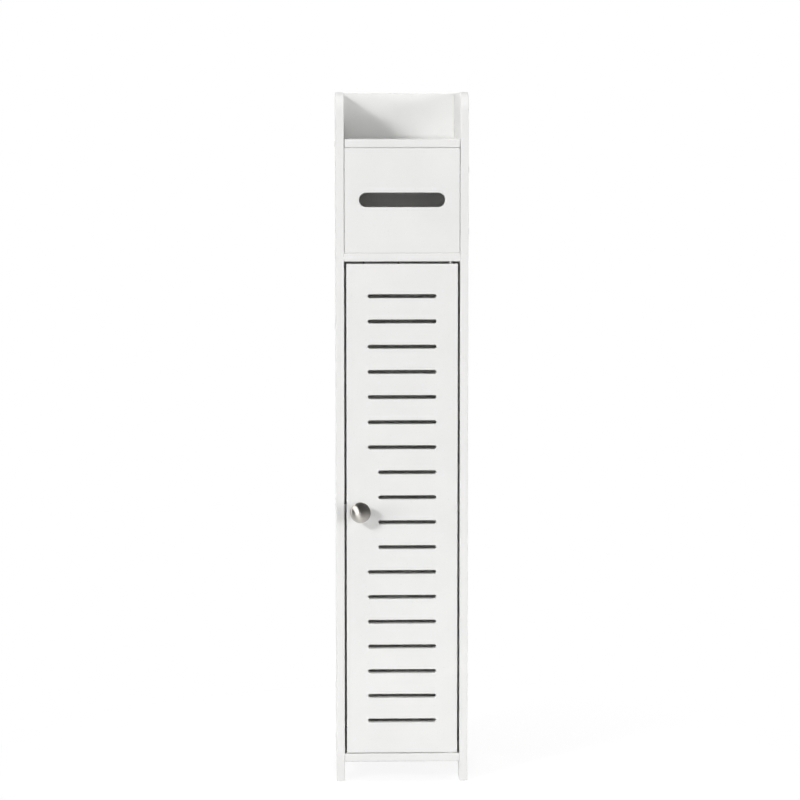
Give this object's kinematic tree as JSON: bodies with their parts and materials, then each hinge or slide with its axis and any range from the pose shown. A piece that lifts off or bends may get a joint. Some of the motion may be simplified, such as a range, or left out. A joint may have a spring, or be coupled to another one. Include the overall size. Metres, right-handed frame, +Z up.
{
  "type": "slim bathroom storage cabinet",
  "caption": "Tall slim floor-standing bathroom cabinet: open tray on a flip-up lid, roll box with a paper slot, and a louvred inset door on pivot pins with a round knob.",
  "frame": {"origin": "on the floor, in the middle of the overall width and of the overall depth from the knob to the back", "axes": "+Z up, +X to the right along the front, +Y from the front to the back"},
  "size_m": [0.1536, 0.186, 0.8],
  "materials": {
    "white_board": "satin",
    "white_plastic": "satin",
    "grey_plastic": "satin",
    "brushed_nickel": "satin",
    "zinc_steel": "satin",
    "ferrite": "matte"
  },
  "bodies": {
    "cabinet": {"left_side_panel": "white_board", "right_side_panel": "white_board", "back_panel": "white_board", "bottom_shelf": "white_board", "inner_shelf": "white_board", "roll_box_floor": "white_board", "roll_box_front": "white_board", "lid_left_pivot_bush": "white_plastic", "lid_right_pivot_bush": "white_plastic", "door_top_pivot_bush": "white_plastic", "door_bottom_pivot_bush": "white_plastic", "catch_case": "grey_plastic", "catch_magnet": "ferrite", "catch_pole_plates": "zinc_steel", "catch_screws": "zinc_steel", "left_panel_screws": "zinc_steel", "right_panel_screws": "zinc_steel", "left_screw_caps": "white_plastic", "right_screw_caps": "white_plastic"},
    "door": {"door_panel": "white_board", "door_knob": "brushed_nickel", "knob_screw": "zinc_steel", "door_top_pivot_pin": "zinc_steel", "door_bottom_pivot_pin": "zinc_steel", "strike_plate": "zinc_steel", "strike_screws": "zinc_steel"},
    "lid": {"roll_box_lid": "white_board", "lid_left_pivot_pin": "zinc_steel", "lid_right_pivot_pin": "zinc_steel"}
  },
  "joints": [
    {"name": "door_hinge", "type": "hinge", "parent": "cabinet", "child": "door", "pos_m": [0.05612, -0.06725, 0.0335], "axis": [0, 0, 1], "range_deg": [0, 120]},
    {"name": "lid_hinge", "type": "hinge", "parent": "cabinet", "child": "lid", "pos_m": [0, 0.07287, 0.74155], "axis": [-1, 0, 0], "range_deg": [0, 94]}
  ]
}
